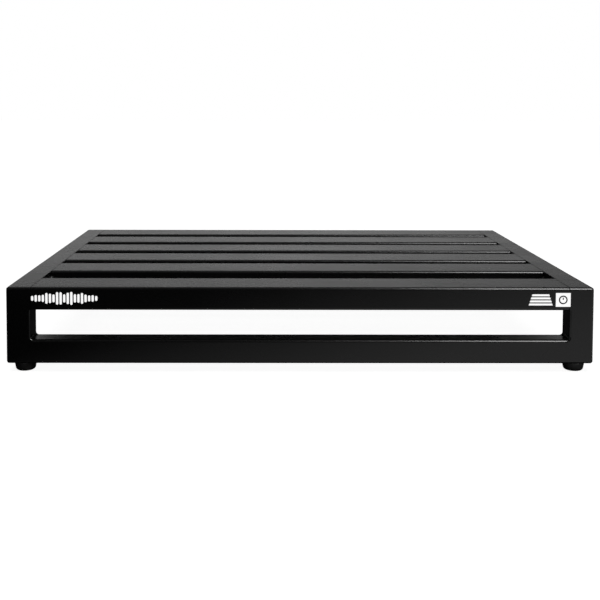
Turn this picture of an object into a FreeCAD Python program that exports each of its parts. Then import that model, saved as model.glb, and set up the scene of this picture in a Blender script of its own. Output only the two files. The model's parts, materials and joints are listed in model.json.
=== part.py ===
import FreeCAD, Part
import os
from math import sin, pi

# Pedalboard: a deck of six wide cross rails between two side rails, carried by a welded frame of two
# posts and a lower rail at the front, and the same at the rear. It stands on four rubber feet.
# Frame: millimetres, origin on the floor under the middle of the board, +X to the right,
# -Y towards the player (front), +Z up.

V = FreeCAD.Vector

# ---------------------------------------------------------------- driving dimensions
WIDTH = 609.6
DEPTH = 431.8
HEIGHT = 88.9

FOOT_HEIGHT = 9.0
WALL = 1.6
CORNER_RADIUS = 2.8
SEAM_RADIUS = 0.9

DECK_THICKNESS = 24.0
SIDE_RAIL_WIDTH = 25.4
DECK_RAIL_WIDTH = 51.6
NARROW_SLOT = 20.2
RAIL_COUNT = 6

POST_WIDTH = SIDE_RAIL_WIDTH
POST_DEPTH = 25.4
LOWER_RAIL_HEIGHT = 25.0

END_PLATE_THICKNESS = 3.0

SEAM_BEAD_WIDTH = 6.0
SEAM_BEAD_HEIGHT = 1.3
FILLET_BEAD_LEG = 4.0
FILLET_BEAD_BULGE = 0.58
SLOT_BEAD_DROP = 5.8
BEAD_GAP = 1.0
CORNER_WELD_RADIUS = 3.2

FOOT_TOP_RADIUS = 11.4
FOOT_BASE_RADIUS = 9.8
FOOT_EDGE_RADIUS = 3.2
FOOT_BORE_RADIUS = 3.0
FOOT_COUNTERBORE_RADIUS = 5.7
FOOT_SIDE_INSET = 17.0
FOOT_FRONT_INSET = 12.7

WASHER_BOTTOM = 4.4
WASHER_THICKNESS = 1.2
WASHER_RADIUS = 5.6
WASHER_BORE_RADIUS = 2.8

SCREW_HEAD_HEIGHT = 3.1
SCREW_HEAD_RADIUS = 4.6
SCREW_RADIUS = 2.45
SCREW_CHAMFER = 0.6
SCREW_TIP = 19.5
SOCKET_RADIUS = 1.7
SOCKET_DEPTH = 1.9

NUT_THREAD_RADIUS = 2.5
NUT_BODY_RADIUS = 4.5
NUT_FLANGE_RADIUS = 6.0
NUT_FLANGE_THICKNESS = 0.6
NUT_BULGE_RADIUS = 6.3
NUT_BULGE_HEIGHT = 2.2
NUT_BULGE_SLOPE = 0.5
NUT_TOP = 21.5
NUT_CLEARANCE = 0.3

PRINT_THICKNESS = 0.15
PRINT_HEIGHT = 14.4
PRINT_DROP = 0.6
WAVE_LEFT_INSET = 26.3
WAVE_BAR_WIDTH = 2.4
WAVE_BAR_PITCH = 3.67
WAVE_BAR_COUNT = 19
WAVE_RAISE = 1.0
WAVE_LOWEST = 4.4
WAVE_RIPPLE = 0.3
WAVE_RIPPLE_STEP = 1.9
KNOB_RIGHT_INSET = 24.9
KNOB_PLATE_WIDTH = 15.3
KNOB_RADIUS = 4.6
KNOB_LINE = 1.4
POINTER_WIDTH = 1.2
POINTER_LENGTH = 2.4
RAIL_ICON_WIDTH = 25.0
RAIL_ICON_HEIGHT = 11.6
RAIL_ICON_GAP = 3.2
RAIL_ICON_LEAN = 4.2
RAIL_ICON_BAR = 2.0
RAIL_ICON_COUNT = 4

# ---------------------------------------------------------------- positions that follow from them
RIGHT = WIDTH / 2
FRONT = -DEPTH / 2
DECK_BOTTOM = HEIGHT - DECK_THICKNESS
LOWER_RAIL_TOP = FOOT_HEIGHT + LOWER_RAIL_HEIGHT
INNER_FACE = RIGHT - SIDE_RAIL_WIDTH
WIDE_SLOT = DEPTH - RAIL_COUNT * DECK_RAIL_WIDTH - (RAIL_COUNT - 2) * NARROW_SLOT
PRINT_MIDDLE = HEIGHT - DECK_THICKNESS / 2 - PRINT_DROP


# ---------------------------------------------------------------- building blocks
def axis_edges(solid, axis):
    """The straight edges of a box that run along one axis: 0 for X, 1 for Y, 2 for Z."""
    chosen = []
    for edge in solid.Edges:
        way = edge.Vertexes[0].Point - edge.Vertexes[1].Point
        if abs(abs(way[axis]) - way.Length) < 1e-6:
            chosen.append(edge)
    return chosen


def edges_at(shape, points):
    """The edges whose middles lie at the given points."""
    places = [V(*point) for point in points]
    return [edge for edge in shape.Edges
            if any(edge.CenterOfMass.distanceToPoint(place) < 0.01 for place in places)]


def box_between(low, high):
    return Part.makeBox(high[0] - low[0], high[1] - low[1], high[2] - low[2], V(*low))


def bar(low, high, axis, radius):
    """A solid bar whose four long edges are rounded."""
    block = box_between(low, high)
    return block.makeFillet(radius, axis_edges(block, axis))


def bore_of(low, high, axis):
    """The space inside a tube, run past both of its ends."""
    inner_low = [value + WALL for value in low]
    inner_high = [value - WALL for value in high]
    inner_low[axis] = low[axis] - 1
    inner_high[axis] = high[axis] + 1
    return bar(inner_low, inner_high, axis, CORNER_RADIUS - WALL)


def tube(low, high, axis):
    return bar(low, high, axis, CORNER_RADIUS).cut(bore_of(low, high, axis))


def prism_xz(points, y_low, y_high):
    """A flat outline in the XZ plane, drawn out along Y."""
    corners = [V(x, y_low, z) for x, z in points]
    outline = Part.makePolygon(corners + corners[:1])
    return Part.Face(outline).extrude(V(0, y_high - y_low, 0))


def mirrored(shape, sides):
    """A copy for one corner of the board, from the shape made for the front right corner."""
    result = shape
    if sides[0] < 0:
        result = result.mirror(V(0, 0, 0), V(1, 0, 0))
    if sides[1] > 0:
        result = result.mirror(V(0, 0, 0), V(0, 1, 0))
    return result


def turned(profile):
    """A solid of revolution about the Z axis, from (radius, height) points."""
    corners = [V(radius, 0, height) for radius, height in profile]
    outline = Part.makePolygon(corners + corners[:1])
    return Part.Face(outline).revolve(V(0, 0, 0), V(0, 0, 1), 360)


# ---------------------------------------------------------------- deck
def rail_starts():
    """The front edge of each cross rail: one wide slot behind the first, narrow ones after it."""
    starts = [FRONT, FRONT + DECK_RAIL_WIDTH + WIDE_SLOT]
    while len(starts) < RAIL_COUNT:
        starts.append(starts[-1] + DECK_RAIL_WIDTH + NARROW_SLOT)
    return starts


def deck_rail(start):
    low = (-INNER_FACE, start, DECK_BOTTOM)
    high = (INNER_FACE, start + DECK_RAIL_WIDTH, HEIGHT)
    return tube(low, high, 0)


def side_rail_form():
    """Outer form of the right side rail. Its ends are ground to follow the rails beside them."""
    block = box_between((INNER_FACE, FRONT, DECK_BOTTOM), (RIGHT, -FRONT, HEIGHT))
    middle_x = (INNER_FACE + RIGHT) / 2
    middle_z = (DECK_BOTTOM + HEIGHT) / 2
    outer = [(RIGHT, 0, HEIGHT), (RIGHT, 0, DECK_BOTTOM)]
    for end in (FRONT, -FRONT):
        outer += [(RIGHT, end, middle_z), (middle_x, end, HEIGHT)]
    block = block.makeFillet(CORNER_RADIUS, edges_at(block, outer))
    inner = [(INNER_FACE, 0, HEIGHT), (INNER_FACE, 0, DECK_BOTTOM)]
    return block.makeFillet(SEAM_RADIUS, edges_at(block, inner))


def side_rail_bore():
    return bore_of((INNER_FACE, FRONT, DECK_BOTTOM), (RIGHT, -FRONT, HEIGHT), 1)


def side_rail():
    return side_rail_form().cut(side_rail_bore())


def end_plate():
    """Closes the open end of a side rail, welded in and ground flush."""
    slab = box_between((INNER_FACE, FRONT, DECK_BOTTOM), (RIGHT, FRONT + END_PLATE_THICKNESS, HEIGHT))
    return side_rail_form().common(side_rail_bore()).common(slab)


# ---------------------------------------------------------------- front and rear frames
def frame_outline():
    """The room that a post and lower rail fill, with the bottom corners of the board rounded."""
    low = (-RIGHT, FRONT, FOOT_HEIGHT)
    block = box_between(low, (RIGHT, FRONT + POST_DEPTH, DECK_BOTTOM))
    middle_y = FRONT + POST_DEPTH / 2
    corners = [(-RIGHT, middle_y, FOOT_HEIGHT), (RIGHT, middle_y, FOOT_HEIGHT)]
    return block.makeFillet(CORNER_RADIUS, edges_at(block, corners))


def post():
    """The front right post, cut to a mitre at its foot."""
    column = tube((INNER_FACE, FRONT, FOOT_HEIGHT), (RIGHT, FRONT + POST_DEPTH, DECK_BOTTOM), 2)
    mitre = [(RIGHT, FOOT_HEIGHT), (RIGHT, DECK_BOTTOM),
             (INNER_FACE, DECK_BOTTOM), (INNER_FACE, LOWER_RAIL_TOP)]
    column = column.common(prism_xz(mitre, FRONT, FRONT + POST_DEPTH))
    return column.common(frame_outline())


def lower_rail():
    """The front lower rail, cut to a mitre at both ends and bored for its two rivet nuts."""
    beam = tube((-RIGHT, FRONT, FOOT_HEIGHT), (RIGHT, FRONT + POST_DEPTH, LOWER_RAIL_TOP), 0)
    mitre = [(-RIGHT, FOOT_HEIGHT), (RIGHT, FOOT_HEIGHT),
             (INNER_FACE, LOWER_RAIL_TOP), (-INNER_FACE, LOWER_RAIL_TOP)]
    beam = beam.common(prism_xz(mitre, FRONT, FRONT + POST_DEPTH)).common(frame_outline())
    for side in (-1, 1):
        centre = V(side * (RIGHT - FOOT_SIDE_INSET), FRONT + FOOT_FRONT_INSET, FOOT_HEIGHT - WALL)
        beam = beam.cut(Part.makeCylinder(NUT_BODY_RADIUS, 3 * WALL, centre))
    return beam


# ---------------------------------------------------------------- welds
def corner_weld():
    """Weld in the lower inner corner of the front right opening, ground to the rails' own edges."""
    back = FRONT + POST_DEPTH
    column = box_between((INNER_FACE, FRONT, FOOT_HEIGHT), (RIGHT, back, DECK_BOTTOM))
    beam = box_between((0, FRONT, FOOT_HEIGHT), (RIGHT, back, LOWER_RAIL_TOP))
    block = column.fuse(beam).removeSplitter()
    hollow = edges_at(block, [(INNER_FACE, (FRONT + back) / 2, LOWER_RAIL_TOP)])
    block = block.makeFillet(CORNER_WELD_RADIUS, hollow)
    rims = [edge for edge in axis_edges(block, 2) if abs(edge.CenterOfMass.x - INNER_FACE) < 0.01]
    block = block.makeFillet(CORNER_RADIUS, rims)
    post_form = bar((INNER_FACE, FRONT, 0), (RIGHT, back, HEIGHT), 2, CORNER_RADIUS)
    rail_form = bar((-RIGHT, FRONT, FOOT_HEIGHT), (RIGHT, back, LOWER_RAIL_TOP), 0, CORNER_RADIUS)
    window = box_between((INNER_FACE - CORNER_WELD_RADIUS, FRONT, LOWER_RAIL_TOP - CORNER_RADIUS),
                         (INNER_FACE + CORNER_RADIUS, back, LOWER_RAIL_TOP + CORNER_WELD_RADIUS))
    return block.cut(post_form).cut(rail_form).common(window)


def seam_bead(x_middle, y_low, y_high):
    """A low convex bead under the deck, over the seam between a side rail and a cross rail."""
    half = SEAM_BEAD_WIDTH / 2
    ends = [V(x_middle - half, y_low, DECK_BOTTOM), V(x_middle + half, y_low, DECK_BOTTOM)]
    crown = V(x_middle, y_low, DECK_BOTTOM - SEAM_BEAD_HEIGHT)
    arch = Part.Arc(ends[0], crown, ends[1]).toShape()
    base = Part.makeLine(ends[1], ends[0])
    return Part.Face(Part.Wire([arch, base])).extrude(V(0, y_high - y_low, 0))


def fillet_bead(corner, leg_a, leg_b, run):
    """A convex bead in the corner of two faces; leg_a and leg_b lie in them, run goes along it."""
    start = corner + leg_a
    end = corner + leg_b
    crown = corner + (leg_a + leg_b) * FILLET_BEAD_BULGE
    arch = Part.Arc(start, crown, end).toShape()
    sides = [arch, Part.makeLine(end, corner), Part.makeLine(corner, start)]
    return Part.Face(Part.Wire(sides)).extrude(run)


def deck_welds():
    """Beads between the right side rail and the cross rails: under each seam, and in the slots."""
    beads = []
    leg = FILLET_BEAD_LEG
    past_post = POST_DEPTH + leg + BEAD_GAP
    z_low = DECK_BOTTOM + CORNER_RADIUS
    rise = V(0, 0, HEIGHT - SLOT_BEAD_DROP - z_low)
    for number, start in enumerate(rail_starts(), 1):
        end = start + DECK_RAIL_WIDTH
        y_low = start + CORNER_RADIUS
        y_high = end - CORNER_RADIUS
        if number == 1:
            y_low = start + past_post
        else:
            beads.append(fillet_bead(V(INNER_FACE, start, z_low), V(-leg, 0, 0), V(0, -leg, 0), rise))
        if number == RAIL_COUNT:
            y_high = end - past_post
        else:
            beads.append(fillet_bead(V(INNER_FACE, end, z_low), V(-leg, 0, 0), V(0, leg, 0), rise))
        beads.append(seam_bead(INNER_FACE, y_low, y_high))
    return Part.makeCompound(beads)


def post_welds():
    """Beads at the top of the front right post: behind it, and filling the side rail's round edge."""
    back = FRONT + POST_DEPTH
    corner = V(INNER_FACE + CORNER_RADIUS, back, DECK_BOTTOM)
    run = V(POST_WIDTH - 2 * CORNER_RADIUS, 0, 0)
    behind = fillet_bead(corner, V(0, FILLET_BEAD_LEG, 0), V(0, 0, -FILLET_BEAD_LEG), run)
    square = box_between((RIGHT - CORNER_RADIUS, FRONT, DECK_BOTTOM),
                         (RIGHT, back, DECK_BOTTOM + CORNER_RADIUS))
    column = bar((INNER_FACE, FRONT, 0), (RIGHT, back, HEIGHT + 1), 2, CORNER_RADIUS)
    filler = square.common(column).cut(side_rail_form())
    return Part.makeCompound([behind, filler])


# ---------------------------------------------------------------- feet and their fasteners
def at_foot(shape):
    """Moves a shape made on the origin's axis to the front right foot."""
    shape.translate(V(RIGHT - FOOT_SIDE_INSET, FRONT + FOOT_FRONT_INSET, 0))
    return shape


def foot():
    """A tapered rubber foot, with a counterbore below for the screw head and washer."""
    body = turned([(0, 0), (FOOT_BASE_RADIUS, 0), (FOOT_TOP_RADIUS, FOOT_HEIGHT), (0, FOOT_HEIGHT)])
    rim = [edge for edge in body.Edges if abs(edge.BoundBox.ZMax) < 0.01 and len(edge.Vertexes) == 1]
    body = body.makeFillet(FOOT_EDGE_RADIUS, rim)
    recess = V(0, 0, FOOT_HEIGHT - NUT_FLANGE_THICKNESS)
    body = body.cut(Part.makeCylinder(FOOT_BORE_RADIUS, FOOT_HEIGHT))
    body = body.cut(Part.makeCylinder(FOOT_COUNTERBORE_RADIUS, WASHER_BOTTOM + WASHER_THICKNESS))
    body = body.cut(Part.makeCylinder(NUT_FLANGE_RADIUS + NUT_CLEARANCE, NUT_FLANGE_THICKNESS, recess))
    return at_foot(body)


def foot_washer():
    top = WASHER_BOTTOM + WASHER_THICKNESS
    return at_foot(turned([(WASHER_BORE_RADIUS, WASHER_BOTTOM), (WASHER_RADIUS, WASHER_BOTTOM),
                           (WASHER_RADIUS, top), (WASHER_BORE_RADIUS, top)]))


def foot_screw():
    """A low-headed machine screw, head down, with a hexagon socket."""
    head_bottom = WASHER_BOTTOM - SCREW_HEAD_HEIGHT
    body = turned([(0, head_bottom), (SCREW_HEAD_RADIUS - SCREW_CHAMFER, head_bottom),
                   (SCREW_HEAD_RADIUS, head_bottom + SCREW_CHAMFER), (SCREW_HEAD_RADIUS, WASHER_BOTTOM),
                   (SCREW_RADIUS, WASHER_BOTTOM), (SCREW_RADIUS, SCREW_TIP - SCREW_CHAMFER),
                   (SCREW_RADIUS - SCREW_CHAMFER, SCREW_TIP), (0, SCREW_TIP)])
    arm = V(SOCKET_RADIUS, 0, head_bottom)
    corners = [FreeCAD.Rotation(V(0, 0, 1), 60 * step).multVec(arm) for step in range(7)]
    socket = Part.Face(Part.makePolygon(corners)).extrude(V(0, 0, SOCKET_DEPTH))
    return at_foot(body.cut(socket))


def rivet_nut():
    """A flanged rivet nut set through the lower rail's bottom wall, with its crushed bulge inside."""
    flange = FOOT_HEIGHT - NUT_FLANGE_THICKNESS
    wall_top = FOOT_HEIGHT + WALL
    bulge_top = wall_top + NUT_BULGE_HEIGHT
    return at_foot(turned([(NUT_THREAD_RADIUS, flange), (NUT_FLANGE_RADIUS, flange),
                           (NUT_FLANGE_RADIUS, FOOT_HEIGHT), (NUT_BODY_RADIUS, FOOT_HEIGHT),
                           (NUT_BODY_RADIUS, wall_top), (NUT_BULGE_RADIUS, wall_top),
                           (NUT_BULGE_RADIUS, bulge_top),
                           (NUT_BODY_RADIUS, bulge_top + NUT_BULGE_SLOPE),
                           (NUT_BODY_RADIUS, NUT_TOP), (NUT_THREAD_RADIUS, NUT_TOP)]))


# ---------------------------------------------------------------- printed marks on the front face
def printed(points):
    """A thin printed area on the front face, from its outline in X and Z."""
    return prism_xz(points, FRONT - PRINT_THICKNESS, FRONT)


def printed_box(x_low, x_high, z_low, z_high):
    return printed([(x_low, z_low), (x_high, z_low), (x_high, z_high), (x_low, z_high)])


def printed_bar(x_low, half):
    """One upright bar of the wave, with round ends."""
    middle = PRINT_MIDDLE + WAVE_RAISE
    box = printed_box(x_low, x_low + WAVE_BAR_WIDTH, middle - half, middle + half)
    return box.makeFillet(0.49 * WAVE_BAR_WIDTH, axis_edges(box, 1))


def print_wave():
    """A plain sound wave of upright bars, whose heights follow two slow waves."""
    bars = []
    for step in range(WAVE_BAR_COUNT):
        x_low = -RIGHT + WAVE_LEFT_INSET + step * WAVE_BAR_PITCH
        swell = sin(pi * (step + 0.5) / WAVE_BAR_COUNT)
        ripple = 1 - WAVE_RIPPLE + WAVE_RIPPLE * sin(step * WAVE_RIPPLE_STEP)
        half = (WAVE_LOWEST + (PRINT_HEIGHT - WAVE_LOWEST) * swell * ripple) / 2
        bars.append(printed_bar(x_low, half))
    return Part.makeCompound(bars)


def print_knob():
    """A filled plate with a round knob and its pointer left open in it."""
    x_high = RIGHT - KNOB_RIGHT_INSET
    x_low = x_high - KNOB_PLATE_WIDTH
    half = PRINT_HEIGHT / 2
    plate = printed_box(x_low, x_high, PRINT_MIDDLE - half, PRINT_MIDDLE + half)
    depth = 2 * PRINT_THICKNESS
    centre = V((x_low + x_high) / 2, FRONT + PRINT_THICKNESS / 2, PRINT_MIDDLE)
    disc = Part.makeCylinder(KNOB_RADIUS, depth, centre, V(0, -1, 0))
    core = Part.makeCylinder(KNOB_RADIUS - KNOB_LINE, depth, centre, V(0, -1, 0))
    pointer = box_between((centre.x - POINTER_WIDTH / 2, FRONT - depth, centre.z),
                          (centre.x + POINTER_WIDTH / 2, FRONT + depth, centre.z + POINTER_LENGTH))
    return Part.makeCompound(plate.cut(disc.cut(core)).cut(pointer).Solids)


def print_rails():
    """A small picture of the deck: a stack of leaning bars."""
    x_high = RIGHT - KNOB_RIGHT_INSET - KNOB_PLATE_WIDTH - RAIL_ICON_GAP
    x_low = x_high - RAIL_ICON_WIDTH
    pitch = (RAIL_ICON_HEIGHT - RAIL_ICON_BAR) / (RAIL_ICON_COUNT - 1)
    bars = []
    for step in range(RAIL_ICON_COUNT):
        z_low = PRINT_MIDDLE - RAIL_ICON_HEIGHT / 2 + step * pitch
        inset_low = RAIL_ICON_LEAN * step / RAIL_ICON_COUNT
        inset_high = inset_low + RAIL_ICON_LEAN * RAIL_ICON_BAR / RAIL_ICON_HEIGHT
        bars.append(printed([(x_low + inset_low, z_low), (x_high - inset_low, z_low),
                             (x_high - inset_high, z_low + RAIL_ICON_BAR),
                             (x_low + inset_high, z_low + RAIL_ICON_BAR)]))
    return Part.makeCompound(bars)


# ---------------------------------------------------------------- the whole board
def all_nodes():
    nodes = {}
    for number, start in enumerate(rail_starts(), 1):
        nodes["deck_rail_%d" % number] = deck_rail(start)
    for side, name in ((-1, "left"), (1, "right")):
        nodes["side_rail_" + name] = mirrored(side_rail(), (side, -1))
        nodes["welds_deck_" + name] = mirrored(deck_welds(), (side, -1))
    corner_pieces = {"end_plate": end_plate(), "post": post(), "welds_post": post_welds(),
                     "weld_corner": corner_weld(), "foot": foot(), "foot_washer": foot_washer(),
                     "foot_screw": foot_screw(), "rivet_nut": rivet_nut()}
    for end, end_name in ((-1, "front"), (1, "rear")):
        nodes["lower_rail_" + end_name] = mirrored(lower_rail(), (1, end))
        for side, side_name in ((-1, "left"), (1, "right")):
            for name, shape in corner_pieces.items():
                nodes["%s_%s_%s" % (name, end_name, side_name)] = mirrored(shape, (side, end))
    nodes["print_wave"] = print_wave()
    nodes["print_rails"] = print_rails()
    nodes["print_knob"] = print_knob()
    return nodes


os.makedirs("parts", exist_ok=True)
total = 0
for node, shape in all_nodes().items():
    if not shape.isValid():
        raise ValueError(node + " is not a valid shape")
    shape.exportStep("parts/%s.step" % node)
    total += shape.Volume
    print("%-28s %2d solids %10.1f mm3" % (node, len(shape.Solids), shape.Volume))
print("all nodes %.1f mm3" % total)
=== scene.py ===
import json
from math import atan2, cos, pi, radians, sin, sqrt
from random import Random

import bmesh
import bpy
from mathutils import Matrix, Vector

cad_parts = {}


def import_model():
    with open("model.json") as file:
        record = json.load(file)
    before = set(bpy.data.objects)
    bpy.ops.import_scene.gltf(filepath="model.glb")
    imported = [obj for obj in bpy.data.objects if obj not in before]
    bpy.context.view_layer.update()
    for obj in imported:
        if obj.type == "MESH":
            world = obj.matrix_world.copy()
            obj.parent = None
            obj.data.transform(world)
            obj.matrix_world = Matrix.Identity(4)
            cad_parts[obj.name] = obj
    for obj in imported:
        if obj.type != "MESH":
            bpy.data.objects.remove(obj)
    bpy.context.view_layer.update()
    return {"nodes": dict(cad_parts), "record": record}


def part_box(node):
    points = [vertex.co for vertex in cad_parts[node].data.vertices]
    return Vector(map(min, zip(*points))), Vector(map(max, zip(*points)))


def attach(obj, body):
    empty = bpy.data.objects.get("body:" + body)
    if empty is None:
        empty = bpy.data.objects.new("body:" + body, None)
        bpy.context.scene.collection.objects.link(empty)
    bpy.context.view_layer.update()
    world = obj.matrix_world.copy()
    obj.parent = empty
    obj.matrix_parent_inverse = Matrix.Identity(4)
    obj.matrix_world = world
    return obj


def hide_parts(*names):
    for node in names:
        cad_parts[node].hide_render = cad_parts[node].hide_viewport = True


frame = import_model()

# ---------------------------------------------------------------- sizes, in metres, from the frame
MM = 0.001
BODY = "root"
SIDES = (("left", -1), ("right", 1))
SIDE_NAMES = {side: name for name, side in SIDES}
ENDS = (("front", -1), ("rear", 1))
RAILS = ["deck_rail_%d" % number for number in range(1, 7)]

side_low, side_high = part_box("side_rail_right")
post_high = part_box("post_front_right")[1]
beam_low, beam_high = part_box("lower_rail_front")
foot_low, foot_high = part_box("foot_front_right")

RIGHT = side_high.x
INNER = side_low.x
FRONT = side_low.y
TOP = side_high.z
DECK_BOTTOM = side_low.z
FRAME_BOTTOM = beam_low.z
BEAM_TOP = beam_high.z
POST_BACK = post_high.y

CORNER_RADIUS = 2.8 * MM
SEAM_RADIUS = 0.9 * MM
WELD_RADIUS = 3.2 * MM
BEAD_LEG = 4.0 * MM
SEAM_BEAD_WIDTH = 6.0 * MM
SEAM_BEAD_HEIGHT = 1.3 * MM
SLOT_BEAD_DROP = 5.8 * MM      # from the deck's top to the upper end of a bead in a slot
BEAD_GAP = 1.0 * MM            # between the bead behind a post and the next one
ROUND_STEPS = 10
SEAM_STEPS = 4
NEAR = 0.01 * MM               # an edge's middle this close to a point is at it
TINY = 1e-7                    # metres; less than this is no distance
SHARP_ANGLE = 40               # degrees between two faces from which their edge is drawn sharp


# ---------------------------------------------------------------- node helpers
def new_material(name):
    material = bpy.data.materials.new(name)
    material.use_nodes = True
    return material, material.node_tree, material.node_tree.nodes["Principled BSDF"]


def add_node(tree, kind, **values):
    """A new node; values are its own settings, or inputs when an input has that name."""
    node = tree.nodes.new(kind)
    for name, value in values.items():
        label = name.replace("_", " ")
        if label in node.inputs:
            node.inputs[label].default_value = value
        else:
            setattr(node, name, value)
    return node


def object_noise(tree, scale, detail=2.0, stretch=(1, 1, 1)):
    """Noise laid out in the object's own coordinates, as a value from about 0 to 1."""
    place = add_node(tree, "ShaderNodeTexCoord")
    mapping = add_node(tree, "ShaderNodeMapping")
    mapping.inputs["Scale"].default_value = stretch
    noise = add_node(tree, "ShaderNodeTexNoise", Scale=scale, Detail=detail)
    tree.links.new(place.outputs["Object"], mapping.inputs["Vector"])
    tree.links.new(mapping.outputs["Vector"], noise.inputs["Vector"])
    return noise.outputs["Fac"]


def remap(tree, value, from_low, from_high, to_low, to_high):
    node = add_node(tree, "ShaderNodeMapRange")
    node.inputs["From Min"].default_value = from_low
    node.inputs["From Max"].default_value = from_high
    node.inputs["To Min"].default_value = to_low
    node.inputs["To Max"].default_value = to_high
    tree.links.new(value, node.inputs["Value"])
    return node.outputs["Result"]


def combine(tree, operation, first, second):
    node = add_node(tree, "ShaderNodeMath", operation=operation)
    for socket, value in zip(node.inputs, (first, second)):
        if isinstance(value, (int, float)):
            socket.default_value = value
        else:
            tree.links.new(value, socket)
    return node.outputs["Value"]


def mix_colors(tree, factor, first, second):
    node = add_node(tree, "ShaderNodeMix", data_type="RGBA")
    tree.links.new(factor, node.inputs["Factor"])
    node.inputs["A"].default_value = (*first, 1)
    node.inputs["B"].default_value = (*second, 1)
    return node.outputs["Result"]


def bump(tree, height, distance, under=None):
    node = add_node(tree, "ShaderNodeBump", Distance=distance)
    tree.links.new(height, node.inputs["Height"])
    if under is not None:
        tree.links.new(under, node.inputs["Normal"])
    return node.outputs["Normal"]


def rounded_edges(tree):
    """0 on the flat faces of the frame and 1 along its rounded edges, from the way the surface faces."""
    geometry = add_node(tree, "ShaderNodeNewGeometry")
    parts = add_node(tree, "ShaderNodeSeparateXYZ")
    tree.links.new(geometry.outputs["Normal"], parts.inputs["Vector"])
    sizes = [combine(tree, "ABSOLUTE", parts.outputs[axis], 0) for axis in "XYZ"]
    largest = combine(tree, "MAXIMUM", combine(tree, "MAXIMUM", sizes[0], sizes[1]), sizes[2])
    return remap(tree, largest, 0.99, 0.80, 0.0, 1.0)


# ---------------------------------------------------------------- materials
def powder_coat(name, base_roughness):
    """Satin black powder coat: orange peel, a fine grain, and a thinner, shinier film on the edges."""
    material, tree, shader = new_material(name)
    patches = object_noise(tree, 14, 4)
    streaks = object_noise(tree, 30, 3, (0.15, 1, 1))
    edges = rounded_edges(tree)
    tint = mix_colors(tree, patches, (0.0090, 0.0090, 0.0093), (0.0115, 0.0115, 0.0118))
    tree.links.new(tint, shader.inputs["Base Color"])
    rough = remap(tree, patches, 0.3, 0.7, base_roughness - 0.012, base_roughness + 0.018)
    rough = combine(tree, "ADD", rough, remap(tree, streaks, 0.3, 0.7, -0.008, 0.008))
    rough = combine(tree, "SUBTRACT", rough, combine(tree, "MULTIPLY", edges, 0.05))
    tree.links.new(rough, shader.inputs["Roughness"])
    peel = bump(tree, object_noise(tree, 620, 2), 0.007 * MM)
    grain = bump(tree, object_noise(tree, 3800, 1), 0.0022 * MM, peel)
    tree.links.new(grain, shader.inputs["Normal"])
    shader.inputs["Specular IOR Level"].default_value = 0.5
    return material


def rubber(name):
    material, tree, shader = new_material(name)
    dust = object_noise(tree, 260, 4)
    tint = mix_colors(tree, remap(tree, dust, 0.4, 0.75, 0, 1), (0.010, 0.010, 0.010), (0.022, 0.022, 0.021))
    tree.links.new(tint, shader.inputs["Base Color"])
    tree.links.new(remap(tree, dust, 0.3, 0.7, 0.52, 0.66), shader.inputs["Roughness"])
    tree.links.new(bump(tree, object_noise(tree, 2600, 2), 0.012 * MM), shader.inputs["Normal"])
    return material


def zinc_steel(name):
    material, tree, shader = new_material(name)
    bloom = object_noise(tree, 420, 3)
    tint = mix_colors(tree, bloom, (0.56, 0.57, 0.58), (0.72, 0.72, 0.71))
    tree.links.new(tint, shader.inputs["Base Color"])
    tree.links.new(remap(tree, bloom, 0.3, 0.7, 0.24, 0.38), shader.inputs["Roughness"])
    tree.links.new(bump(tree, object_noise(tree, 5200, 2), 0.002 * MM), shader.inputs["Normal"])
    shader.inputs["Metallic"].default_value = 1.0
    return material


def white_ink_with_painted_glow(name):
    material, tree, shader = new_material(name)
    film = object_noise(tree, 900, 3)
    tint = mix_colors(tree, film, (0.80, 0.80, 0.79), (0.90, 0.90, 0.89))
    tree.links.new(tint, shader.inputs["Base Color"])
    tree.links.new(remap(tree, film, 0.3, 0.7, 0.42, 0.56), shader.inputs["Roughness"])
    tree.links.new(bump(tree, object_noise(tree, 2400, 2), 0.006 * MM), shader.inputs["Normal"])
    # Painted light: the ink glows by emission, so the print shows bright white whatever light falls on it
    shader.inputs["Emission Color"].default_value = (1, 1, 1, 1)
    shader.inputs["Emission Strength"].default_value = 0.9
    return material


COAT = powder_coat("black_powder_coat", 0.27)
WELD_COAT = powder_coat("black_powder_coat_on_weld", 0.42)
RUBBER = rubber("black_rubber")
STEEL = zinc_steel("zinc_steel")
INK_WITH_PAINTED_GLOW = white_ink_with_painted_glow("white_print")


# ---------------------------------------------------------------- mesh helpers
def finished(name, bm, material, slot, *nodes):
    """Turns a bmesh into a piece that rides on the frame and stands for the given CAD nodes."""
    bmesh.ops.recalc_face_normals(bm, faces=bm.faces)
    for face in bm.faces:
        face.smooth = True
    mesh = bpy.data.meshes.new(name)
    bm.to_mesh(mesh)
    bm.free()
    mesh.set_sharp_from_angle(angle=radians(SHARP_ANGLE))
    mesh.materials.append(material)
    piece = bpy.data.objects.new(name, mesh)
    bpy.context.scene.collection.objects.link(piece)
    weighted = piece.modifiers.new("even_shading", "WEIGHTED_NORMAL")
    weighted.keep_sharp = True
    weighted.weight = 100
    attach(piece, BODY)
    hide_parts(*nodes)


def box_mesh(low, high):
    bm = bmesh.new()
    bmesh.ops.create_cube(bm, size=1)
    low, high = Vector(low), Vector(high)
    size = high - low
    for vert in bm.verts:
        vert.co = Vector(((vert.co[axis] + 0.5) * size[axis] + low[axis]) for axis in range(3))
    return bm


def middle(edge):
    return (edge.verts[0].co + edge.verts[1].co) / 2


def edges_near(bm, points):
    """The edges whose middles lie at the given points."""
    places = [Vector(point) for point in points]
    return [edge for edge in bm.edges if any((middle(edge) - place).length < NEAR for place in places)]


def round_edges(bm, edges, radius, steps):
    bmesh.ops.bevel(bm, geom=edges, offset=radius, offset_type="OFFSET", segments=steps,
                    profile=0.5, affect="EDGES", clamp_overlap=False)


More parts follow.
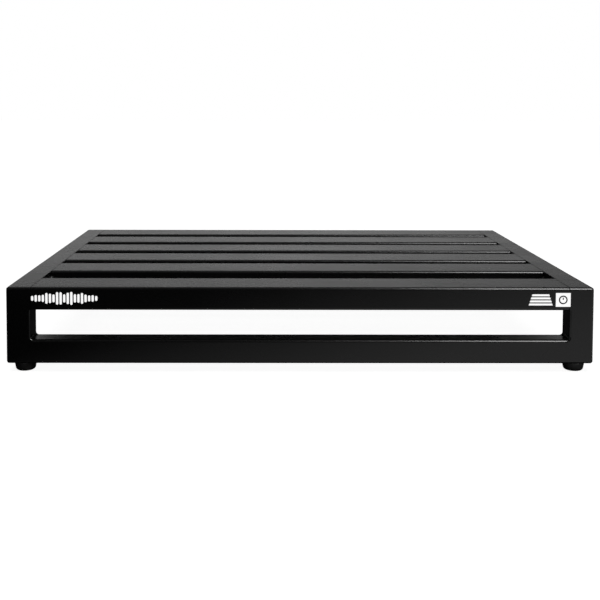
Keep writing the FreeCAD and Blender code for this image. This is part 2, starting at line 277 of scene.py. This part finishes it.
def split_off(bm, point, normal):
    """Cuts away what lies on the far side of a plane and closes the cut."""
    everything = list(bm.verts) + list(bm.edges) + list(bm.faces)
    bmesh.ops.bisect_plane(bm, geom=everything, dist=TINY, plane_co=point, plane_no=normal, clear_outer=True)
    rim = [edge for edge in bm.edges if edge.is_boundary]
    bmesh.ops.holes_fill(bm, edges=rim)


# ---------------------------------------------------------------- deck
def deck_rail(name):
    low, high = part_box(name)
    bm = box_mesh(low, high)
    long_edges = [(0, y, z) for y in (low.y, high.y) for z in (low.z, high.z)]
    round_edges(bm, edges_near(bm, long_edges), CORNER_RADIUS, ROUND_STEPS)
    ends = [edge for edge in bm.edges if abs(edge.verts[0].co.x - edge.verts[1].co.x) < TINY]
    round_edges(bm, ends, SEAM_RADIUS, SEAM_STEPS)
    finished("rail_" + name[-1], bm, COAT, "black_powder_coat", name)


def side_rail(side_name, side):
    """A side rail with its end plates under the coat: round outside, and nearly sharp at the seams."""
    bm = box_mesh((INNER, FRONT, DECK_BOTTOM), (RIGHT, -FRONT, TOP))
    middle_x = (INNER + RIGHT) / 2
    middle_z = (DECK_BOTTOM + TOP) / 2
    outer = [(RIGHT, 0, TOP), (RIGHT, 0, DECK_BOTTOM)]
    for end in (FRONT, -FRONT):
        outer += [(RIGHT, end, middle_z), (middle_x, end, TOP)]
    round_edges(bm, edges_near(bm, outer), CORNER_RADIUS, ROUND_STEPS)
    inner = [(INNER, 0, TOP), (INNER, 0, DECK_BOTTOM)]
    round_edges(bm, edges_near(bm, inner), SEAM_RADIUS, SEAM_STEPS)
    for vert in bm.verts:
        vert.co.x *= side
    plates = ["end_plate_%s_%s" % (end_name, side_name) for end_name, end in ENDS]
    finished("side_rail_" + side_name + "_coated", bm, COAT, "black_powder_coat",
             "side_rail_" + side_name, *plates)


# ---------------------------------------------------------------- front and rear frames
def frame_mesh():
    """The front frame in one: two posts and the lower rail, with its corners welded and ground round."""
    outline = [(-RIGHT, DECK_BOTTOM), (-RIGHT, FRAME_BOTTOM), (RIGHT, FRAME_BOTTOM), (RIGHT, DECK_BOTTOM),
               (INNER, DECK_BOTTOM), (INNER, BEAM_TOP), (-INNER, BEAM_TOP), (-INNER, DECK_BOTTOM)]
    bm = bmesh.new()
    face = bm.faces.new([bm.verts.new((x, FRONT, z)) for x, z in outline])
    pushed = bmesh.ops.extrude_face_region(bm, geom=[face])["geom"]
    moved = [item for item in pushed if isinstance(item, bmesh.types.BMVert)]
    bmesh.ops.translate(bm, verts=moved, vec=(0, POST_BACK - FRONT, 0))
    middle_y = (FRONT + POST_BACK) / 2
    inner_corners = [(x, middle_y, BEAM_TOP) for x in (-INNER, INNER)]
    round_edges(bm, edges_near(bm, inner_corners), WELD_RADIUS, ROUND_STEPS)
    edges = edges_near(bm, [(x, middle_y, FRAME_BOTTOM) for x in (-RIGHT, RIGHT)])
    for edge in bm.edges:
        place = middle(edge)
        on_face = abs(edge.verts[0].co.y - edge.verts[1].co.y) < TINY
        if on_face and place.z < DECK_BOTTOM - 10 * TINY:
            edges.append(edge)
    round_edges(bm, edges, CORNER_RADIUS, ROUND_STEPS)
    return bm


def frame_pieces(end_name, end):
    """Splits the frame at its mitres into the left post, the lower rail (0) and the right post."""
    for kept in (-1, 0, 1):
        bm = frame_mesh()
        for side in (-1, 1):
            corner = Vector((side * RIGHT, 0, FRAME_BOTTOM))
            inside = Vector((side * INNER, 0, BEAM_TOP))
            along = inside - corner
            outward = Vector((side * along.z, 0, -side * along.x))
            if outward.x * side < 0:
                outward.negate()
            if kept == 0:
                split_off(bm, corner, outward)
            elif kept == side:
                split_off(bm, corner, -outward)
        for vert in bm.verts:
            vert.co.y *= -end
        if kept == 0:
            welds = ["weld_corner_%s_%s" % (end_name, name) for name, side in SIDES]
            finished("lower_rail_%s_coated" % end_name, bm, COAT, "black_powder_coat",
                     "lower_rail_" + end_name, *welds)
        else:
            post = "post_%s_%s" % (end_name, SIDE_NAMES[kept])
            finished(post + "_coated", bm, COAT, "black_powder_coat", post)


# ---------------------------------------------------------------- weld beads
BEAD_STEP = 0.3 * MM
BEAD_ACROSS = 10
BEAD_FULLNESS = 1.5            # of a fillet: 1 is a quarter circle, 2 is flat
BEAD_END_WIDTH = 0.25          # of the full width
BEAD_WANDER = 0.06             # of the full width
BEAD_WANDER_LENGTH = 5 * MM
RIPPLE_PITCH = 1.7 * MM
RIPPLE_HEIGHT = 0.22 * MM
RIPPLE_MEAN = 0.75
RIPPLE_SWEEP = 1.3


def bead(bm, start, run, cross_section, dice):
    """Adds one rippled bead along run, with narrow ends. Its outline is cross_section(t), t from 0 to 1."""
    length = run.length
    along = run / length
    rings = []
    count = max(8, int(length / BEAD_STEP))
    wander = dice.uniform(0, 2 * pi)
    shift = dice.uniform(0, 1)
    for step in range(count + 1):
        distance = length * step / count
        nearest_end = min(distance, length - distance)
        taper = min(1.0, BEAD_END_WIDTH + sqrt(max(0.0, nearest_end / BEAD_LEG)) * (1 - BEAD_END_WIDTH))
        width = taper * (1 + BEAD_WANDER * sin(distance / BEAD_WANDER_LENGTH + wander))
        origin = start + along * distance
        ring = [bm.verts.new(origin)]
        for index in range(BEAD_ACROSS + 1):
            t = index / BEAD_ACROSS
            offset = cross_section(t)
            crown = sin(pi * t)
            phase = distance / RIPPLE_PITCH + shift + RIPPLE_SWEEP * crown
            ripple = RIPPLE_HEIGHT * (abs(sin(pi * phase)) - RIPPLE_MEAN) * crown
            ring.append(bm.verts.new(origin + offset * width + offset.normalized() * ripple))
        rings.append(ring)
    size = len(rings[0])
    for first, second in zip(rings, rings[1:]):
        for index in range(size):
            after = (index + 1) % size
            bm.faces.new((first[index], first[after], second[after], second[index]))
    bm.faces.new(rings[0])
    bm.faces.new(list(reversed(rings[-1])))


def fillet_section(side_a, side_b):
    """The arched outline of a fillet bead between two faces."""
    def outline(t):
        angle = t * pi / 2
        return (side_a * cos(angle) ** BEAD_FULLNESS + side_b * sin(angle) ** BEAD_FULLNESS) * BEAD_LEG
    return outline


def seam_section(side, down):
    """The arched outline of a low bead over a flat seam."""
    def outline(t):
        return side * (t - 0.5) * SEAM_BEAD_WIDTH + down * SEAM_BEAD_HEIGHT * (1 - (2 * t - 1) ** 2)
    return outline


def deck_welds(side_name, side):
    dice = Random(20 + side)
    bm = bmesh.new()
    inward = Vector((-side, 0, 0))
    face = Vector((side * INNER, 0, 0))
    low = DECK_BOTTOM + CORNER_RADIUS
    rise = Vector((0, 0, TOP - SLOT_BEAD_DROP - low))
    past_post = POST_BACK - FRONT + BEAD_LEG + BEAD_GAP
    section = seam_section(inward, Vector((0, 0, -1)))
    for name in RAILS:
        rail_low, rail_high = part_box(name)
        y_low = rail_low.y + CORNER_RADIUS
        y_high = rail_high.y - CORNER_RADIUS
        if name == RAILS[0]:
            y_low = rail_low.y + past_post
        else:
            outline = fillet_section(inward, Vector((0, -1, 0)))
            bead(bm, face + Vector((0, rail_low.y, low)), rise, outline, dice)
        if name == RAILS[-1]:
            y_high = rail_high.y - past_post
        else:
            outline = fillet_section(inward, Vector((0, 1, 0)))
            bead(bm, face + Vector((0, rail_high.y, low)), rise, outline, dice)
        start = face + Vector((0, y_low, DECK_BOTTOM))
        bead(bm, start, Vector((0, y_high - y_low, 0)), section, dice)
    finished("weld_beads_deck_" + side_name, bm, WELD_COAT, "black_powder_coat", "welds_deck_" + side_name)


def filler(bm, side, end):
    """Weld metal that fills the side rail's round lower edge over a post, ground flush with both."""
    radius = CORNER_RADIUS
    slices = [(radius * (1 - cos(pi / 2 * step / ROUND_STEPS)), radius * sin(pi / 2 * step / ROUND_STEPS))
              for step in range(1, ROUND_STEPS + 1)]
    slices.append((POST_BACK - FRONT, radius))
    rows = []
    for depth, reach in slices:
        upper = []
        lower = []
        for index in range(ROUND_STEPS + 1):
            across = reach * sin(pi / 2 * index / ROUND_STEPS)
            height = radius - sqrt(max(0.0, radius ** 2 - across ** 2))
            x = side * (RIGHT - radius + across)
            y = -end * (FRONT + depth)
            upper.append(bm.verts.new((x, y, DECK_BOTTOM + height)))
            lower.append(bm.verts.new((x, y, DECK_BOTTOM)))
        rows.append(upper + lower[::-1])
    size = len(rows[0])
    for first, second in zip(rows, rows[1:]):
        for index in range(size):
            after = (index + 1) % size
            bm.faces.new((first[index], first[after], second[after], second[index]))
    bm.faces.new(rows[0])
    bm.faces.new(rows[-1][::-1])
    bmesh.ops.remove_doubles(bm, verts=bm.verts, dist=TINY)


def post_welds(end_name, end, side_name, side):
    bm = bmesh.new()
    filler(bm, side, end)
    dice = Random(60 + 2 * end + side)
    back = -end * POST_BACK
    start = Vector((side * (INNER + CORNER_RADIUS), back, DECK_BOTTOM))
    run = Vector((side * (RIGHT - INNER - 2 * CORNER_RADIUS), 0, 0))
    section = fillet_section(Vector((0, -end, 0)), Vector((0, 0, -1)))
    bead(bm, start, run, section, dice)
    finished("weld_beads_post_%s_%s" % (end_name, side_name), bm, WELD_COAT, "black_powder_coat",
             "welds_post_%s_%s" % (end_name, side_name))


# ---------------------------------------------------------------- feet
FOOT_BASE_RADIUS = 9.8 * MM
FOOT_EDGE_RADIUS = 3.2 * MM
FOOT_RIM_RADIUS = 0.5 * MM
FOOT_COUNTERBORE = 5.7 * MM
FOOT_COUNTERBORE_CHAMFER = 0.3 * MM
FOOT_BORE = 3.0 * MM
FOOT_WEB_BOTTOM = 5.6 * MM
FOOT_RECESS_RADIUS = 6.3 * MM
FOOT_RECESS_DEPTH = 0.6 * MM
FOOT_TURNS = 96


def arc(centre, radius, start, end, steps):
    """Points of an arc in the (radius, height) plane; angles in degrees."""
    angles = [radians(start + (end - start) * step / steps) for step in range(steps + 1)]
    return [(centre[0] + radius * cos(angle), centre[1] + radius * sin(angle)) for angle in angles]


def turned_mesh(profile, centre):
    bm = bmesh.new()
    rings = []
    for step in range(FOOT_TURNS):
        angle = 2 * pi * step / FOOT_TURNS
        rings.append([bm.verts.new((centre.x + r * cos(angle), centre.y + r * sin(angle), z))
                      for r, z in profile])
    size = len(profile)
    for index, ring in enumerate(rings):
        following = rings[(index + 1) % FOOT_TURNS]
        for point in range(size):
            after = (point + 1) % size
            bm.faces.new((ring[point], following[point], following[after], ring[after]))
    return bm


def foot_profile():
    """Outside from the floor up, then down the bore: a tapered wall with a rolled lower edge."""
    height = foot_high.z
    top_radius = (foot_high.x - foot_low.x) / 2
    lean = atan2(top_radius - FOOT_BASE_RADIUS, height)
    # the rolled edge touches the floor and the leaning wall
    low_centre = (FOOT_BASE_RADIUS + FOOT_EDGE_RADIUS * (sin(lean) - 1) / cos(lean), FOOT_EDGE_RADIUS)
    wall_end = 360 - lean * 180 / pi
    profile = arc(low_centre, FOOT_EDGE_RADIUS, 270, wall_end, 12)
    rim = (top_radius - FOOT_RIM_RADIUS, height - FOOT_RIM_RADIUS)
    profile += arc(rim, FOOT_RIM_RADIUS, 0, 90, 5)
    profile += [(FOOT_RECESS_RADIUS, height), (FOOT_RECESS_RADIUS, height - FOOT_RECESS_DEPTH),
                (FOOT_BORE, height - FOOT_RECESS_DEPTH), (FOOT_BORE, FOOT_WEB_BOTTOM),
                (FOOT_COUNTERBORE, FOOT_WEB_BOTTOM), (FOOT_COUNTERBORE, FOOT_COUNTERBORE_CHAMFER),
                (FOOT_COUNTERBORE + FOOT_COUNTERBORE_CHAMFER, 0)]
    return profile


def foot(end_name, side_name):
    name = "foot_%s_%s" % (end_name, side_name)
    low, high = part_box(name)
    finished("rubber_" + name, turned_mesh(foot_profile(), (low + high) / 2), RUBBER, "black_rubber", name)


# ---------------------------------------------------------------- the board
for rail_name in RAILS:
    deck_rail(rail_name)
for side_name, side in SIDES:
    side_rail(side_name, side)
    deck_welds(side_name, side)
for end_name, end in ENDS:
    frame_pieces(end_name, end)
    for side_name, side in SIDES:
        post_welds(end_name, end, side_name, side)
        foot(end_name, side_name)

FINISHES = {"black_powder_coat": COAT, "black_rubber": RUBBER, "zinc_steel": STEEL, "white_print": INK_WITH_PAINTED_GLOW}
for part in frame["record"]["subparts"]:
    node = frame["nodes"][part["node"]]
    for index in range(len(node.material_slots)):
        node.material_slots[index].material = FINISHES[part["material_slot"]]


# ---------------------------------------------------------------- floor, light and camera
def floor():
    """A plain white studio floor, bright enough to vanish into the background, with soft shadows."""
    mesh = bpy.data.meshes.new("studio_floor")
    half = 12.0
    corners = [(-half, -half, 0), (half, -half, 0), (half, half, 0), (-half, half, 0)]
    mesh.from_pydata(corners, [], [(0, 1, 2, 3)])
    material, tree, shader = new_material("studio_floor")
    speckle = object_noise(tree, 3, 2)
    tree.links.new(mix_colors(tree, speckle, (0.80, 0.80, 0.80), (0.82, 0.82, 0.82)),
                   shader.inputs["Base Color"])
    place = add_node(tree, "ShaderNodeTexCoord")
    distance = add_node(tree, "ShaderNodeVectorMath", operation="LENGTH")
    tree.links.new(place.outputs["Object"], distance.inputs[0])
    glow = remap(tree, distance.outputs["Value"], 0.5, 2.0, 0.93, 1.0)
    tree.links.new(glow, shader.inputs["Emission Strength"])
    shader.inputs["Roughness"].default_value = 0.9
    shader.inputs["Specular IOR Level"].default_value = 0.0
    shader.inputs["Emission Color"].default_value = (1, 1, 1, 1)
    mesh.materials.append(material)
    plane = bpy.data.objects.new("studio_floor", mesh)
    plane.visible_glossy = False
    plane.visible_diffuse = False
    bpy.context.scene.collection.objects.link(plane)


def glow_card(name, corners, axis_a, span_a, axis_b, span_b, strength):
    """A card that only reflections show. A span is (start, end, last): its light goes from 1 to last."""
    mesh = bpy.data.meshes.new(name)
    mesh.from_pydata(corners, [], [(0, 1, 2, 3)])
    material, tree, shader = new_material(name)
    place = add_node(tree, "ShaderNodeTexCoord")
    fades = []
    for axis, (start, end, last) in ((axis_a, span_a), (axis_b, span_b)):
        along = add_node(tree, "ShaderNodeVectorMath", operation="DOT_PRODUCT")
        along.inputs[1].default_value = axis
        tree.links.new(place.outputs["Object"], along.inputs[0])
        fades.append(remap(tree, along.outputs["Value"], start, end, 1.0, last))
    light = combine(tree, "MULTIPLY", combine(tree, "MULTIPLY", fades[0], fades[1]), strength)
    tree.links.new(light, shader.inputs["Emission Strength"])
    shader.inputs["Emission Color"].default_value = (1, 1, 1, 1)
    shader.inputs["Base Color"].default_value = (0, 0, 0, 1)
    shader.inputs["Specular IOR Level"].default_value = 0.0
    mesh.materials.append(material)
    card = bpy.data.objects.new(name, mesh)
    card.visible_camera = False
    card.visible_diffuse = False
    card.visible_shadow = False
    bpy.context.scene.collection.objects.link(card)


def table_glow():
    """The lit part of the table in front of the board, fading to the left and away from the board."""
    corners = [(-0.9, -1.1, 0.001), (1.8, -1.1, 0.001), (1.8, -0.222, 0.001), (-0.9, -0.222, 0.001)]
    glow_card("table_glow", corners, (1, 0.82, 0), (-0.05, -0.53, 0.0), (0, 1, 0), (-0.3, -0.9, 0.85), 0.5)


def back_glow():
    """The lit wall behind the board: brightest low down, fading to the right and a little to the left."""
    low, high = 0.28, 0.64
    corners = [(-1.05, 1.9, low), (1.3, 1.9, low), (1.3, 1.9, high), (-1.05, 1.9, high)]
    glow_card("back_glow", corners, (1, 0, 0), (0.1, 1.3, 0.36), (-0.11, 0, 1), (0.33, 0.55, 0.55), 0.91)


def world():
    """White to the eye, and nearly dark in reflections, so that the softboxes shape the black coat."""
    sky = bpy.data.worlds.new("studio")
    sky.use_nodes = True
    tree = sky.node_tree
    seen = tree.nodes["Background"]
    seen.inputs["Color"].default_value = (1, 1, 1, 1)
    dark = add_node(tree, "ShaderNodeBackground", Strength=0.02)
    choice = add_node(tree, "ShaderNodeMixShader")
    ray = add_node(tree, "ShaderNodeLightPath")
    tree.links.new(ray.outputs["Is Camera Ray"], choice.inputs["Fac"])
    tree.links.new(dark.outputs["Background"], choice.inputs[1])
    tree.links.new(seen.outputs["Background"], choice.inputs[2])
    tree.links.new(choice.outputs["Shader"], tree.nodes["World Output"].inputs["Surface"])
    bpy.context.scene.world = sky


def softbox(name, place, target, width, height, radiance, gloss=True):
    """A rectangular soft light, aimed at a point. It either shows in reflections or lights the surfaces."""
    light = bpy.data.lights.new(name, "AREA")
    light.shape = "RECTANGLE"
    light.size = width
    light.size_y = height
    light.energy = radiance * pi * width * height
    lamp = bpy.data.objects.new(name, light)
    lamp.location = place
    lamp.rotation_euler = (Vector(target) - Vector(place)).to_track_quat("-Z", "Y").to_euler()
    lamp.visible_camera = False
    lamp.visible_glossy = gloss
    lamp.visible_diffuse = not gloss
    bpy.context.scene.collection.objects.link(lamp)


def softboxes():
    """The key and the panels shape the reflections. The table lights are the lit table, and the fills light
    the surfaces from above and from the front."""
    softbox("key_right", (0.80, -1.2, 1.30), (0.15, -0.2, 0.08), 0.55, 1.1, 12.5)
    softbox("panel_back_left", (-1.7, 1.7, 1.25), (0, 0, 0.05), 1.8, 1.0, 0.5)
    softbox("panel_back_high", (-0.3, 1.35, 2.1), (0, 0, 0.05), 2.4, 1.3, 0.35)
    softbox("panel_front_right", (1.8, -1.8, 0.75), (0, 0, 0.05), 1.8, 0.7, 0.4)
    softbox("panel_front_left", (-1.8, -1.7, 1.15), (0, 0, 0.05), 1.8, 1.0, 0.4)
    softbox("panel_left", (-2.3, 0.5, 0.35), (0, 0.5, 0.05), 1.4, 0.5, 0.4)
    softbox("panel_right", (2.3, 0.1, 0.3), (0, 0.1, 0.05), 1.8, 0.6, 0.5)
    softbox("ceiling", (0, 0.2, 2.3), (0, 0.2, 0), 2.6, 1.8, 0.27)
    softbox("table_rear", (0.1, 0.55, 0.002), (0.1, 0.55, 1), 2.2, 0.60, 0.5)
    softbox("table_left", (-0.60, 0.32, 0.002), (-0.60, 0.32, 1), 0.5, 1.0, 0.3)
    softbox("table_right", (0.65, 0.32, 0.002), (0.65, 0.32, 1), 0.62, 1.0, 0.5)
    softbox("fill_overhead", (0, -0.1, 2.2), (0, 0, 0), 2.4, 2.4, 0.62, gloss=False)
    softbox("fill_front", (0.8, -2.0, 1.0), (0, 0, 0), 1.2, 1.2, 0.5, gloss=False)


def camera():
    """At the player's side, a little left of the board's middle, looking slightly down over the deck."""
    data = bpy.data.cameras.new("camera")
    data.sensor_width = 36
    data.lens = 55.32
    data.shift_x = 0.04
    data.shift_y = -0.25
    data.clip_end = 60
    eye = bpy.data.objects.new("camera", data)
    eye.location = (-0.0326, FRONT - 0.9444, 0.2804)
    eye.rotation_euler = (radians(90 - 2.98), radians(-0.152), radians(-0.395))
    bpy.context.scene.collection.objects.link(eye)
    bpy.context.scene.camera = eye


floor()
world()
back_glow()
table_glow()
softboxes()
camera()
bpy.context.scene.view_settings.view_transform = "Standard"
